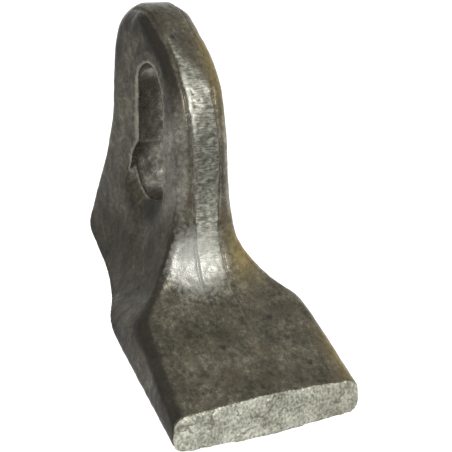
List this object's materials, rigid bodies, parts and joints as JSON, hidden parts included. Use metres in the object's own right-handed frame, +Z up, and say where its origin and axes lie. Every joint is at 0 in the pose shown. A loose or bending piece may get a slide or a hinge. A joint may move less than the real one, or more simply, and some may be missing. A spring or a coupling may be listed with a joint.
{
  "type": "hammer flail",
  "caption": "Forged steel hammer flail: a flat shank with a keyhole slot for a rotor pin flares into a wide, sloping adze-shaped head with a blunt cropped end.",
  "frame": {"origin": "seat of the rotor pin: the centre of the arc at the slot's upper end, on the forging's plane of symmetry", "axes": "+X across the forging, along the rotor pin; +Y from the head's cropped end towards the heel; +Z up the shank, towards the crown"},
  "size_m": [0.073, 0.0982, 0.1337],
  "materials": {
    "forged_steel": "dark forged mill scale, bright bare metal where the flash was trimmed and at the granular cropped end"
  },
  "bodies": {
    "root": {"hammer_forging": "forged_steel"}
  },
  "joints": []
}
